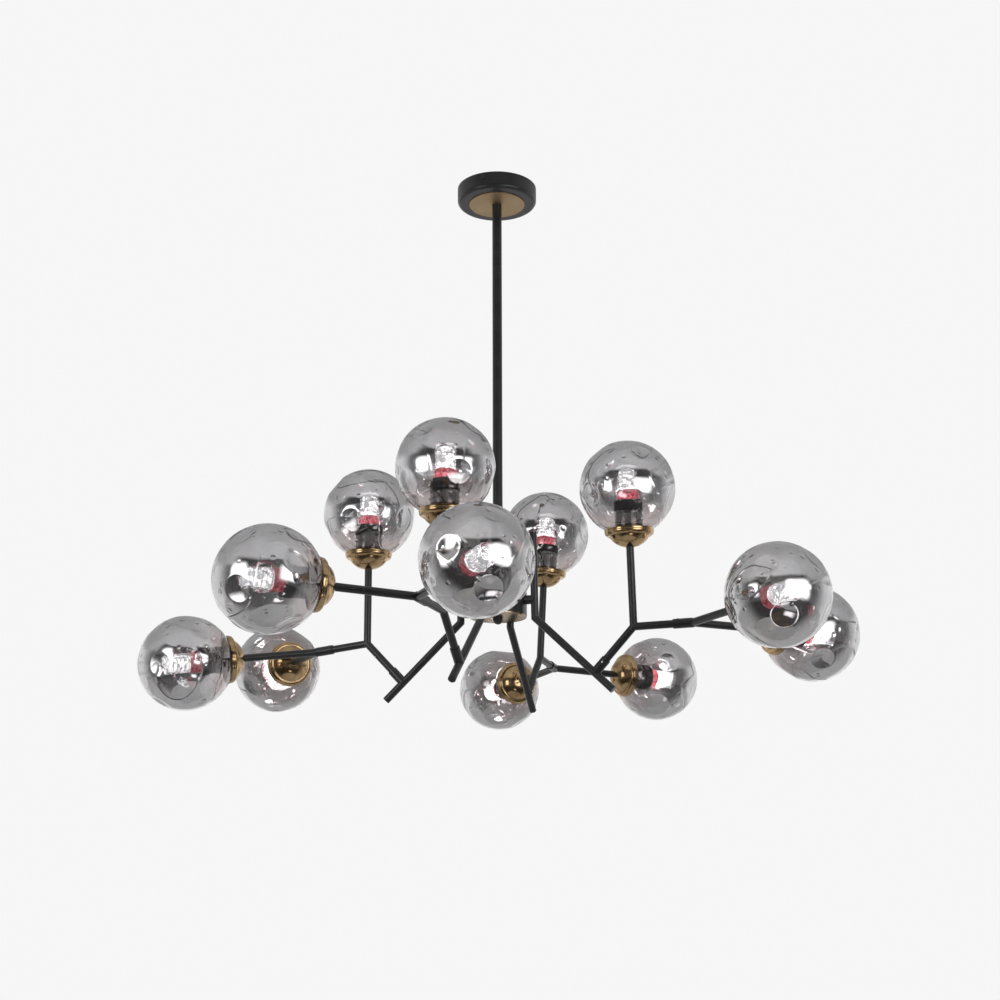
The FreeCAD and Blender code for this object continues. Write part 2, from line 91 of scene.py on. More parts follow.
def fork_place(arm):
    droop, fork_turn = ARMS[arm][3:]
    knot = branch_place(arm) @ shift(BRANCH_WAY * BRANCH_LENGTH) @ turn((0, 1, 0), droop)
    return knot @ shift((LINK_LENGTH, 0, 0)) @ turn((1, 0, 0), fork_turn)


def top_lamp_place(arm):
    return branch_place(arm) @ shift(BRANCH_WAY * BRANCH_LENGTH + Vector((0, 0, UPRIGHT_LENGTH)))


def fork_lamp_place(arm, side):
    """Lamp at the end of a prong: Z along the prong, X up."""
    way = Vector((math.cos(FORK_HALF_ANGLE), side * math.sin(FORK_HALF_ANGLE), 0))
    up = Vector((0, 0, 1))
    aim = Matrix((up, way.cross(up), way)).transposed().to_4x4()
    return fork_place(arm) @ shift(way * FORK_LENGTH) @ aim


# ---------------------------------------------------------------- shaping pieces
class Skin:
    """Points and faces of one piece, in its own frame and in millimetres."""

    def __init__(self):
        self.points = np.zeros((0, 3))
        self.faces = []
        self.marks = []      # one (turn, run) pair per face corner, for turning marks
        self.finishes = []   # one finish number per face

    def add(self, points, faces, marks, finish):
        start = len(self.points)
        self.points = np.vstack([self.points, np.asarray(points, float).reshape(-1, 3)])
        self.faces += [tuple(start + i for i in face) for face in faces]
        self.marks += marks
        self.finishes += [finish] * len(faces)
        return slice(start, len(self.points))

    def spun(self, outline, around, finish=0):
        """Adds a turned shape about Z from (radius, height) points, outside going upwards."""
        angles = np.arange(around) * 2 * math.pi / around
        circle = np.stack([np.cos(angles), np.sin(angles), np.zeros(around)], axis=1)
        points, rings, runs, run = [], [], [], 0.0
        for i, (radius, height) in enumerate(outline):
            if i:
                run += math.dist(outline[i - 1], (radius, height))
            runs.append(run * MM)
            count = around if radius > 1e-6 else 1
            rings.append((len(points), count))
            points += [(x * radius, y * radius, height) for x, y, _ in circle[:count]]
        faces, marks = [], []
        for i in range(len(outline) - 1):
            (low, low_count), (high, high_count) = rings[i], rings[i + 1]
            if low_count == high_count == 1:
                continue
            for j in range(around):
                k = (j + 1) % around
                corners = [(low + j % low_count, j, i), (low + k % low_count, j + 1, i),
                           (high + k % high_count, j + 1, i + 1), (high + j % high_count, j, i + 1)]
                if low_count == 1:
                    del corners[1]
                if high_count == 1:
                    del corners[-1]
                faces.append([point for point, _, _ in corners])
                marks += [(step / around, runs[row]) for _, step, row in corners]
        return self.add(points, faces, marks, finish)

    def ring(self, outline, around, finish=0):
        """Adds a turned ring whose outline closes on itself."""
        return self.spun(outline + outline[:1], around, finish)


def eased(corners, radius, steps=3, closed=False):
    """Outline with its corners rounded to a radius, as far as its runs have room."""
    points = [Vector(c) for c in corners]
    count = len(points)
    out = []
    for i, here in enumerate(points):
        if not closed and i in (0, count - 1):
            out.append(tuple(here))
            continue
        back, on = points[i - 1] - here, points[(i + 1) % count] - here
        reach = min(radius, back.length * 0.45, on.length * 0.45)
        start, end = here + back.normalized() * reach, here + on.normalized() * reach
        for step in range(steps + 1):
            t = step / steps
            out.append(tuple(start * (1 - t) ** 2 + here * 2 * t * (1 - t) + end * t ** 2))
    return out


def bow(start, middle, end, steps):
    """Points on the arc through three (radius, height) points, without its last one."""
    (ax, ay), (bx, by), (cx, cy) = start, middle, end
    d = 2 * (ax * (by - cy) + bx * (cy - ay) + cx * (ay - by))
    a, b, c = ax * ax + ay * ay, bx * bx + by * by, cx * cx + cy * cy
    centre = Vector(((a * (by - cy) + b * (cy - ay) + c * (ay - by)) / d,
                     (a * (cx - bx) + b * (ax - cx) + c * (bx - ax)) / d))
    radius = (Vector(start) - centre).length
    first = math.atan2(ay - centre.y, ax - centre.x)

    def past(point):
        return (math.atan2(point[1] - centre.y, point[0] - centre.x) - first) % math.tau

    sweep = past(end)
    if past(middle) > sweep:
        sweep -= math.tau
    return [(centre.x + radius * math.cos(first + sweep * i / steps),
             centre.y + radius * math.sin(first + sweep * i / steps)) for i in range(steps)]


def make_piece(name, skin, place, finishes, body, nodes=(), sharp=40):
    """Blender piece of a skin, written in the chandelier's frame, with its body and finishes."""
    turned = np.array(place.to_3x3())
    points = (skin.points @ turned.T + np.array(place.translation)) * MM
    mesh = bpy.data.meshes.new(name)
    mesh.from_pydata(points.tolist(), [], skin.faces)
    mesh.uv_layers.new(name="turned")
    mesh.uv_layers[0].data.foreach_set("uv", np.array(skin.marks, np.float32).ravel())
    mesh.polygons.foreach_set("material_index", np.array(skin.finishes, np.int32))
    for finish in finishes:
        mesh.materials.append(finish)
    mesh.shade_smooth()
    mesh.set_sharp_from_angle(angle=math.radians(sharp))
    mesh.update()
    piece = bpy.data.objects.new(name, mesh)
    bpy.context.scene.collection.objects.link(piece)
    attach(piece, body)
    if nodes:
        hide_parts(*nodes)
    return piece


# ---------------------------------------------------------------- effects shared by the finishes
def wire(tree, kind, feeds=None, **settings):
    """Adds a shader node. feeds gives its sockets a value, or the socket that feeds them."""
    made = tree.nodes.new("ShaderNode" + kind)
    for key, value in settings.items():
        setattr(made, key, value)
    for key, value in (feeds or {}).items():
        if isinstance(value, bpy.types.NodeSocket):
            tree.links.new(value, made.inputs[key])
        else:
            made.inputs[key].default_value = value
    return made


def sums(tree, operation, *values, clamp=False):
    """One arithmetic node, fed with values or sockets."""
    return wire(tree, "Math", dict(enumerate(values)), operation=operation,
                use_clamp=clamp).outputs[0]


def blended(tree, share, first, second):
    """Colour between two colours."""
    mix = wire(tree, "Mix", data_type="RGBA")
    for socket, value in zip((mix.inputs[0], mix.inputs[6], mix.inputs[7]), (share, first, second)):
        if isinstance(value, bpy.types.NodeSocket):
            tree.links.new(value, socket)
        else:
            socket.default_value = value
    return mix.outputs[2]


def new_effect(name, takes, gives):
    """Empty node group with named sockets: takes gives (name, kind, value), gives (name, kind)."""
    tree = bpy.data.node_groups.new(name, "ShaderNodeTree")
    for label, kind, value in takes:
        socket = tree.interface.new_socket(label, in_out="INPUT",
                                           socket_type="NodeSocket" + kind)
        socket.default_value = value
    for label, kind in gives:
        tree.interface.new_socket(label, in_out="OUTPUT", socket_type="NodeSocket" + kind)
    inlet, outlet = tree.nodes.new("NodeGroupInput"), tree.nodes.new("NodeGroupOutput")

    def give(**sockets):
        for label, socket in sockets.items():
            tree.links.new(socket, outlet.inputs[label])
    return tree, inlet.outputs, give


def object_point(tree):
    """Point on the surface, in the chandelier's frame and in metres."""
    return wire(tree, "TexCoord").outputs["Object"]


def cloudy_effect():
    """Soft patches of two colours, as in lacquer, patina and smoke that aren't quite even."""
    tree, takes, give = new_effect(
        "Cloudy Patches",
        [("Light", "Color", (0.8, 0.8, 0.8, 1)), ("Dark", "Color", (0.6, 0.6, 0.6, 1)),
         ("Patches per Metre", "Float", 60.0), ("Contrast", "Float", 1.0)],
        [("Color", "Color"), ("Mask", "Float")])
    noise = wire(tree, "TexNoise", {"Vector": object_point(tree), "Detail": 4.0, "Roughness": 0.6,
                                    "Scale": takes["Patches per Metre"]})
    spread = sums(tree, "MULTIPLY", sums(tree, "SUBTRACT", noise.outputs[0], 0.5),
                  sums(tree, "MULTIPLY", takes["Contrast"], 2.5))
    mask = sums(tree, "ADD", spread, 0.5, clamp=True)
    give(Color=blended(tree, mask, takes["Dark"], takes["Light"]), Mask=mask)
    return tree


def grain_effect():
    """Fine pebbled grain of sprayed lacquer or moulded plastic, and a roughness that follows it."""
    tree, takes, give = new_effect(
        "Fine Grain",
        [("Grains per Metre", "Float", 900.0), ("Roughness", "Float", 0.4),
         ("Variation", "Float", 0.1)],
        [("Height", "Float"), ("Roughness", "Float")])
    point = object_point(tree)
    fine = wire(tree, "TexNoise", {"Vector": point, "Scale": takes["Grains per Metre"],
                                   "Detail": 2.0, "Roughness": 0.5})
    broad = wire(tree, "TexNoise", {"Vector": point, "Scale": 45.0, "Detail": 3.0,
                                    "Roughness": 0.6})
    change = sums(tree, "MULTIPLY", sums(tree, "SUBTRACT", broad.outputs[0], 0.5),
                  sums(tree, "MULTIPLY", takes["Variation"], 2.0))
    give(Height=fine.outputs[0],
         Roughness=sums(tree, "ADD", takes["Roughness"], change, clamp=True))
    return tree


def wear_effect():
    """Where edges are rubbed: a mask that is 1 on worn edges."""
    tree, takes, give = new_effect(
        "Edge Wear", [("Width", "Float", 0.0012), ("Amount", "Float", 1.0)], [("Mask", "Float")])
    edge = wire(tree, "Bevel", {"Radius": takes["Width"]}, samples=4)
    flat = wire(tree, "NewGeometry")
    alike = wire(tree, "VectorMath", {0: edge.outputs[0], 1: flat.outputs["Normal"]},
                 operation="DOT_PRODUCT").outputs["Value"]
    turned = sums(tree, "MULTIPLY", sums(tree, "SUBTRACT", 1.0, alike), 6.0, clamp=True)
    chips = wire(tree, "TexNoise", {"Vector": object_point(tree), "Scale": 260.0, "Detail": 3.0})
    rubbed = sums(tree, "MULTIPLY", sums(tree, "SUBTRACT", chips.outputs[0], 0.42), 6.0,
                  clamp=True)
    give(Mask=sums(tree, "MULTIPLY", sums(tree, "MULTIPLY", turned, rubbed), takes["Amount"]))
    return tree


def spin_effect():
    """Fine lines left by spinning or turning, counted along one distance in metres."""
    tree, takes, give = new_effect(
        "Turning Lines",
        [("Distance", "Float", 0.0), ("Lines per Metre", "Float", 1500.0)],
        [("Height", "Float"), ("Mask", "Float")])
    noise = wire(tree, "TexNoise", {"W": sums(tree, "MULTIPLY", takes["Distance"],
                                              takes["Lines per Metre"]),
                                    "Scale": 1.0, "Detail": 3.0, "Roughness": 0.7},
                 noise_dimensions="1D")
    mask = sums(tree, "MULTIPLY", sums(tree, "SUBTRACT", noise.outputs[0], 0.3), 2.5, clamp=True)
    give(Height=noise.outputs[0], Mask=mask)
    return tree


def dust_effect():
    """Thin dust that settles where a surface faces up."""
    tree, takes, give = new_effect("Settled Dust", [("Amount", "Float", 0.3)], [("Mask", "Float")])
    normal = wire(tree, "NewGeometry").outputs["Normal"]
    up = wire(tree, "SeparateXYZ", {0: normal}).outputs["Z"]
    facing = sums(tree, "MULTIPLY", sums(tree, "SUBTRACT", up, 0.45), 2.0, clamp=True)
    flecks = wire(tree, "TexNoise", {"Vector": object_point(tree), "Scale": 120.0, "Detail": 6.0,
                                     "Roughness": 0.7})
    give(Mask=sums(tree, "MULTIPLY", sums(tree, "MULTIPLY", facing, flecks.outputs[0]),
                   takes["Amount"], clamp=True))
    return tree


CREASE_SHARPNESS = 55.0    # how fast a crease falls off beside its line
CREASE_HEIGHT = 0.5        # of the ripples' height
PIT_SHARPNESS = 5.0
PIT_DEPTH = 1.25           # of the ripples' height


def blown_effect():
    """Slow ripples of blown glass, with fine creases along some of them and scattered pits."""
    tree, takes, give = new_effect(
        "Blown Glass",
        [("Ripples per Metre", "Float", 26.0), ("Creases per Metre", "Float", 9.0),
         ("Pits per Metre", "Float", 48.0)],
        [("Height", "Float")])
    point = object_point(tree)
    ripple = wire(tree, "TexNoise", {"Vector": point, "Scale": takes["Ripples per Metre"],
                                     "Detail": 2.0, "Roughness": 0.35}).outputs[0]
    fold = wire(tree, "TexNoise", {"Vector": point, "Scale": takes["Creases per Metre"],
                                   "Detail": 1.0, "Distortion": 0.6}).outputs[0]
    away = sums(tree, "ABSOLUTE", sums(tree, "SUBTRACT", fold, 0.5))
    crease = sums(tree, "SUBTRACT", 1.0, sums(tree, "MULTIPLY", away, CREASE_SHARPNESS,
                                              clamp=True))
    cell = wire(tree, "TexVoronoi", {"Vector": point, "Scale": takes["Pits per Metre"]})
    pit = sums(tree, "SUBTRACT", 1.0, sums(tree, "MULTIPLY", cell.outputs["Distance"],
                                           PIT_SHARPNESS, clamp=True))
    creased = sums(tree, "ADD", ripple, sums(tree, "MULTIPLY", crease, CREASE_HEIGHT))
    give(Height=sums(tree, "SUBTRACT", creased, sums(tree, "MULTIPLY", pit, PIT_DEPTH)))
    return tree


CLOUDY = cloudy_effect()
GRAIN = grain_effect()
WEAR = wear_effect()
SPIN = spin_effect()
DUST = dust_effect()
BLOWN = blown_effect()


def effect(tree, group, **feeds):
    """Places an effect in a material, with its own values; _ stands for a space in a name."""
    made = wire(tree, "Group", node_tree=group)
    for key, value in feeds.items():
        socket = made.inputs[key.replace("_", " ")]
        if isinstance(value, bpy.types.NodeSocket):
            tree.links.new(value, socket)
        else:
            socket.default_value = value
    return made.outputs


def colour(red, green, blue):
    """Opaque colour from its linear shares."""
    return (red, green, blue, 1.0)


def grey(level):
    return colour(level, level, level)


def new_finish(name, **constants):
    """Material with a bare shader: (material, its tree, the shader)."""
    material = bpy.data.materials.new(name)
    material.use_nodes = True
    tree = material.node_tree
    shader = tree.nodes["Principled BSDF"]
    for key, value in constants.items():
        shader.inputs[key.replace("_", " ")].default_value = value
    return material, tree, shader


def feed(tree, shader, **sockets):
    """Links sockets to the shader; _ stands for a space in a name."""
    for key, socket in sockets.items():
        tree.links.new(socket, shader.inputs[key.replace("_", " ")])


def bumped(tree, height, depth):
    """Normal of a surface whose relief is a height times a depth in metres."""
    return wire(tree, "Bump", {"Height": height, "Distance": depth, "Strength": 1.0}).outputs[0]


# ---------------------------------------------------------------- finishes
DUST_COLOUR = colour(0.32, 0.31, 0.29)
PLASTIC_IOR = 1.46
GLASS_IOR = 1.5
CORE_LIGHTS_AROUND = 20.0
CORE_LIGHTS_PER_METRE = 330.0
GLASS_RELIEF = 0.0005      # metres of bump for the ripples of the blown glass
NECK_CLEAR_FROM = 12.0     # along the globe's outline, where the smoke is thinnest
NECK_CLEAR_TO = 48.0       # and where it is full


def black_lacquer(name, light, dark, roughness, worn, grains=900.0, dust=0.16):
    """Sprayed lacquer: nearly even, finely pebbled, lighter where its edges are rubbed."""
    material, tree, shader = new_finish(name, Metallic=0.0, Specular_IOR_Level=0.5)
    patches = effect(tree, CLOUDY, Light=light, Dark=dark, Patches_per_Metre=35.0)
    grain = effect(tree, GRAIN, Grains_per_Metre=grains, Roughness=roughness, Variation=0.09)
    edges = effect(tree, WEAR, Width=0.0009, Amount=0.6)
    settled = effect(tree, DUST, Amount=dust)
    base = blended(tree, edges["Mask"], patches["Color"], worn)
    base = blended(tree, settled["Mask"], base, DUST_COLOUR)
    feed(tree, shader, Base_Color=base, Roughness=grain["Roughness"],
         Normal=bumped(tree, grain["Height"], 0.00002))
    return material


def worked_metal(name, light, dark, roughness, distance, lines=1500.0, patches=45.0, depth=3e-6,
                 worn=None):
    """Bare metal with turning lines along a distance, and cloudy tarnish."""
    material, tree, shader = new_finish(name, Metallic=1.0)
    tarnish = effect(tree, CLOUDY, Light=light, Dark=dark, Patches_per_Metre=patches)
    marks = effect(tree, SPIN, Distance=distance(tree), Lines_per_Metre=lines)
    base = tarnish["Color"]
    if worn:
        edges = effect(tree, WEAR, Width=0.0008, Amount=0.8)
        base = blended(tree, edges["Mask"], base, worn)
    rough = effect(tree, GRAIN, Grains_per_Metre=700.0, Roughness=roughness, Variation=0.12)
    lined = sums(tree, "ADD", rough["Roughness"],
                 sums(tree, "MULTIPLY", sums(tree, "SUBTRACT", marks["Mask"], 0.5), 0.08),
                 clamp=True)
    feed(tree, shader, Base_Color=base, Roughness=lined,
         Normal=bumped(tree, marks["Height"], depth))
    return material


def along_outline(tree):
    """Distance along a turned piece's outline."""
    marks = wire(tree, "UVMap", uv_map="turned").outputs[0]
    return wire(tree, "SeparateXYZ", {0: marks}).outputs["Y"]


def from_rod_axis(tree):
    """Distance from the rod's axis, for discs turned about it."""
    flat = wire(tree, "VectorMath", {0: object_point(tree), 1: (1.0, 1.0, 0.0)},
                operation="MULTIPLY").outputs[0]
    return wire(tree, "VectorMath", {0: flat}, operation="LENGTH").outputs["Value"]


def glass_shade(tree, far, near):
    """Smoke in the glass: thinner and warmer towards the neck, with faint clouds."""
    marks = wire(tree, "UVMap", uv_map="turned").outputs[0]
    run = wire(tree, "SeparateXYZ", {0: marks}).outputs["Y"]
    clear = wire(tree, "MapRange", {"Value": run, "From Min": NECK_CLEAR_TO * MM,
                                    "From Max": NECK_CLEAR_FROM * MM},
                 interpolation_type="SMOOTHSTEP").outputs[0]
    even = blended(tree, clear, far, near)
    clouds = effect(tree, CLOUDY, Light=colour(1, 1, 1), Dark=colour(0.93, 0.92, 0.92),
                    Patches_per_Metre=22.0)
    mix = wire(tree, "Mix", data_type="RGBA", blend_type="MULTIPLY")
    mix.inputs[0].default_value = 1.0
    tree.links.new(even, mix.inputs[6])
    tree.links.new(clouds["Color"], mix.inputs[7])
    return mix.outputs[2]


def smoked_glass(name, metal, far, near):
    """One face of the blown glass; metal is the share of light its mirror film sends back."""
    material, tree, shader = new_finish(name, Metallic=metal, Transmission_Weight=1.0,
                                        IOR=GLASS_IOR, Roughness=0.0)
    feed(tree, shader, Base_Color=glass_shade(tree, far, near),
         Normal=bumped(tree, effect(tree, BLOWN)["Height"], GLASS_RELIEF))
    return material


def moulded_plastic(name, light, dark, patches, contrast=1.0, grains=500.0, roughness=0.16,
                    variation=0.1, depth=3e-5, painted_glow=False, **constants):
    """Plastic with faint clouds and a fine grain; with a painted glow it also shines in its own
    colour, painted light from a part that is no lamp.
    """
    material, tree, shader = new_finish(name, IOR=PLASTIC_IOR, **constants)
    tint = effect(tree, CLOUDY, Light=light, Dark=dark, Patches_per_Metre=patches,
                  Contrast=contrast)
    grain = effect(tree, GRAIN, Grains_per_Metre=grains, Roughness=roughness,
                   Variation=variation)
    feed(tree, shader, Base_Color=tint["Color"], Roughness=grain["Roughness"],
         Normal=bumped(tree, grain["Height"], depth))
    # Painted glow: the plastic gives off light in its own colour, though it is no lamp.
    if painted_glow:
        feed(tree, shader, Emission_Color=tint["Color"])
    return material


def lit_core():
    """White core of the bulb, with rows of small bright lights, whose glow is patched with painted
    sparkle.
    """
    material, tree, shader = new_finish("lit_core", Emission_Strength=14.0)
    marks = wire(tree, "UVMap", uv_map="turned").outputs[0]
    cells = (CORE_LIGHTS_AROUND, CORE_LIGHTS_PER_METRE, 1.0)
    spots = wire(tree, "Mapping", {"Vector": marks, "Scale": cells}).outputs[0]
    dots = wire(tree, "TexVoronoi", {"Vector": spots, "Scale": 1.0, "Randomness": 0.0},
                voronoi_dimensions="2D").outputs["Distance"]
    lit = sums(tree, "MULTIPLY", sums(tree, "SUBTRACT", 0.42, dots), 8.0, clamp=True)
    grain = effect(tree, GRAIN, Grains_per_Metre=400.0, Roughness=0.45, Variation=0.1)
    # Painted sparkle: bright and dark patches that vary how strongly each small light shines.
    painted_glints = effect(tree, CLOUDY, Light=colour(1.0, 0.98, 0.95), Dark=colour(0.10, 0.10, 0.105),
                    Patches_per_Metre=150.0, Contrast=3.0)
    feed(tree, shader,
         Base_Color=blended(tree, lit, colour(0.62, 0.63, 0.64), colour(0.9, 0.88, 0.8)),
         Emission_Color=blended(tree, lit, colour(0.12, 0.12, 0.13), painted_glints["Color"]),
         Roughness=grain["Roughness"], Normal=bumped(tree, lit, 0.0003))
    return material


SATIN_BLACK = black_lacquer("satin_black", colour(0.024, 0.024, 0.026), colour(0.016, 0.016, 0.017),
                            0.34, colour(0.09, 0.09, 0.09))
COLLAR_BLACK = black_lacquer("collar_black", colour(0.028, 0.027, 0.027),
                             colour(0.018, 0.018, 0.018), 0.4, colour(0.06, 0.06, 0.06),
                             grains=1400.0, dust=0.05)
CUP_BRASS = worked_metal("cup_brass", colour(0.62, 0.44, 0.24), colour(0.30, 0.19, 0.09), 0.14,
                         along_outline, lines=1400.0, patches=40.0,
                         worn=colour(0.90, 0.80, 0.58))
HUB_BRASS = worked_metal("hub_brass", colour(0.52, 0.41, 0.25), colour(0.28, 0.20, 0.11), 0.2,
                         from_rod_axis, lines=1600.0, patches=30.0, depth=6e-6)
DISC_BRASS = worked_metal("disc_brass", colour(0.50, 0.36, 0.21), colour(0.42, 0.29, 0.16), 0.5,
                          from_rod_axis, lines=900.0, patches=25.0, depth=2e-5)
SKIRT_NICKEL = worked_metal("skirt_nickel", colour(0.30, 0.30, 0.31), colour(0.06, 0.06, 0.062),
                            0.10, along_outline, lines=900.0, patches=60.0)
ZINC = worked_metal("bracket_zinc", colour(0.62, 0.63, 0.65), colour(0.42, 0.43, 0.46), 0.38,
                    from_rod_axis, lines=500.0, patches=120.0)
SCREW_STEEL = worked_metal("screw_steel", colour(0.72, 0.72, 0.73), colour(0.5, 0.5, 0.52), 0.22,
                           from_rod_axis, lines=3000.0, patches=200.0)
GLASS_OUTSIDE = smoked_glass("smoked_glass", 0.0, colour(0.82, 0.82, 0.825),
                             colour(0.80, 0.75, 0.74))
# height over the cup's base where each step of the mirror film starts, and its metal share
FILM_STEPS = [(0.0, 0.12), (48.0, 0.22), (57.0, 0.36), (64.0, 0.52), (71.0, 0.66), (79.0, 0.78)]
GLASS_FILMS = [smoked_glass(f"mirror_film_{i + 1}", share, colour(0.84, 0.84, 0.85),
                            colour(0.74, 0.68, 0.67)) for i, (_, share) in enumerate(FILM_STEPS)]
BULB_GLASS = moulded_plastic("bulb_glass", colour(1, 1, 1), colour(0.93, 0.94, 0.95), 90.0,
                             roughness=0.03, variation=0.03, Transmission_Weight=1.0)
# The red band's glow is painted light; the band itself is no lamp.
RED_BAND = moulded_plastic("red_band", colour(0.80, 0.24, 0.28), colour(0.26, 0.005, 0.02),
                           260.0, contrast=2.2, painted_glow=True, Transmission_Weight=0.35,
                           Emission_Strength=1.1)
WHITE_PLASTIC = moulded_plastic("white_plastic", colour(0.82, 0.81, 0.78),
                                colour(0.72, 0.70, 0.66), 80.0, grains=1200.0,
                                roughness=0.45, depth=2e-5)
LIT_CORE = lit_core()


# ---------------------------------------------------------------- CAD pieces that stay
def dress(finish, *nodes):
    """Gives solids that stay in view their finish."""
    for node in nodes:
        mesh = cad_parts[node].data
        mesh.materials.clear()
        mesh.materials.append(finish)


dress(SATIN_BLACK, "canopy", "drop_rod", "hub_body", "finial")
for arm in ARMS:
    dress(SATIN_BLACK, arm + "_arm_tube", arm + "_branch_tube", arm + "_fork_tube")
dress(DISC_BRASS, "canopy_plate")
dress(HUB_BRASS, "hub_plate")
dress(ZINC, "ceiling_bracket", "rod_nipples", "locknuts")
dress(COLLAR_BLACK, "canopy_screws")
dress(SCREW_STEEL, "socket_screws")
dress(WHITE_PLASTIC, "terminal_block")


# ---------------------------------------------------------------- lamp: cup, holder, bulb, globe
CUP_COLLAR_R = 7.5
CUP_WALL = 1.2
CUP_BOWL = (31.0, 16.5)
CUP_BULGE = 3.4
CUP_LIP = (38.0, 23.0)
CUP_RIM_R = 38.5
CUP_HEIGHT = 27.5
CUP_HOLE_R = 5.0
HOLDER_BASE_R = 7.0
HOLDER_SHOULDER = 12.0
SKIRT_R = 21.5
SKIRT_HEIGHT = 55.5
GROOVE_HEIGHTS = (17.0, 33.0, 49.0)
GROOVE_HALF = 1.1
GROOVE_DEPTH = 0.8
COLLAR_R = 22.5
COLLAR_HEIGHT = 16.0
COLLAR_RIBS = 36
RIB_HEIGHT = 0.4
SOCKET_BORE_R = 13.7
SOCKET_DEPTH = 24.0
CAP_R = 13.3
CAP_LENGTH = 22.0
CAP_PITCH = 3.4
BAND_R = 16.4
BAND_HEIGHT = 15.5
BAND_FLUTES = 18
CLEAR_R = 16.0
CLEAR_HEIGHT = 41.0
CLEAR_FLUTES = 24
CORE_R = 10.5
GLOBE_R = 75.0
GLOBE_WALL = 2.0
GLOBE_HEIGHT = 93.0
NECK_R = CUP_RIM_R - CUP_WALL - 0.3
NECK_FILLET = 3.0
NECK_FOOT = 23.9           # height over the cup's base where the neck's outside starts
NECK_LIP = 23.3            # of the rounded lip's sides
NECK_END = 23.05           # of its lowest ring
GLOBE_RUN_START = 23.0     # height that the runs along its outline count from
GLOBE_AROUND = 180
GLOBE_ROWS = 96
SEAT = CUP_WALL + SKIRT_HEIGHT + COLLAR_HEIGHT    # the holder's top, where the bulb's band sits

# dents in the globe: degrees round the axis, degrees up from the equator, rim radius, depth
DENTS = [
    (15, 46, 19.0, 4.6), (105, 40, 17.0, 4.2), (200, 50, 18.0, 4.4), (290, 38, 16.5, 4.0),
    (60, -14, 19.0, 4.4), (135, -22, 21.0, 5.0), (212, -12, 18.0, 4.2), (265, -27, 20.0, 4.8),
    (340, -20, 19.0, 4.6),
]
DENT_FILLET = 8.0          # of a dent's rim, on the outside
WAVE_DEPTH = 0.3           # of the slow waves all over the glass
CALM_NECK = (32.0, 46.0)   # heights between which dents and waves fade in
# small pinch marks: degrees round the axis, degrees up, radius, depth
PINCHES = [(150, 42, 6.5, 1.5), (320, 8, 6.0, 1.3), (95, 8, 5.5, 1.2), (240, 18, 6.0, 1.3),
           (20, -2, 5.0, 1.1), (175, -40, 6.0, 1.3)]

# how far each globe is turned in its cup
GLOBE_TURNS = {
    "right_top": 20, "right_a": 75, "right_b": 130, "back_top": 200, "back_a": 300, "back_b": 15,
    "left_top": 110, "left_a": 250, "left_b": 340, "front_top": 60, "front_a": 160,
    "front_b": 220,
}


def globe_outline():
    """Outside from the neck's foot up to the far end, then back down the inside."""
    def side(radius, neck_r, fillet, steps):
        meet = GLOBE_HEIGHT - math.sqrt((radius + fillet) ** 2 - (neck_r + fillet) ** 2)
        first = math.asin((neck_r + fillet) / (radius + fillet))
        path = [(neck_r, NECK_FOOT), (neck_r, (NECK_FOOT + meet) / 2)]
        for i in range(6):
            angle = (math.pi / 2 - first) * i / 6
            path.append((neck_r + fillet - fillet * math.cos(angle),
                         meet + fillet * math.sin(angle)))
        for i in range(steps + 1):
            angle = first + (math.pi - first) * i / steps
            path.append((radius * math.sin(angle), GLOBE_HEIGHT - radius * math.cos(angle)))
        path[-1] = (0.0, path[-1][1])
        return path
    outside = side(GLOBE_R, NECK_R, NECK_FILLET, GLOBE_ROWS)
    inside = side(GLOBE_R - GLOBE_WALL, NECK_R - GLOBE_WALL, NECK_FILLET + GLOBE_WALL, GLOBE_ROWS)
    mid = NECK_R - GLOBE_WALL / 2
    lip = [(mid - 0.9, NECK_LIP), (mid, NECK_END), (mid + 0.9, NECK_LIP)]
    return outside, inside[::-1] + lip + outside[:1]


def dent_reach(away, rim_r, depth, under):
    """Distance from the globe's middle to the glass, at angles away from a dent's middle."""
    dome = GLOBE_R - math.sqrt(GLOBE_R ** 2 - rim_r ** 2)
    hollow = depth - dome
    press_r = (rim_r ** 2 + hollow ** 2) / (2 * hollow)
    out = GLOBE_R - depth + press_r
    # the rim's fillet is a circle that touches the ball and the pressing ball from inside the glass
    core_r, reach = GLOBE_R - DENT_FILLET, press_r + DENT_FILLET
    rim = math.acos((out ** 2 + core_r ** 2 - reach ** 2) / (2 * out * core_r))
    press_side = math.atan2(core_r * math.sin(rim) * press_r / reach,
                            out - (out - core_r * math.cos(rim)) * press_r / reach)
    fillet, press = DENT_FILLET - under, press_r + under
    pressed = out * np.cos(away) - np.sqrt(np.maximum(press ** 2 - (out * np.sin(away)) ** 2, 0))
    slip = core_r * np.sin(rim - away)
    rounded = core_r * np.cos(rim - away) + np.sqrt(np.maximum(fillet ** 2 - slip ** 2, 0))
    inside = np.where(away < press_side, pressed, rounded)
    return np.where(away < rim, inside, GLOBE_R - under)


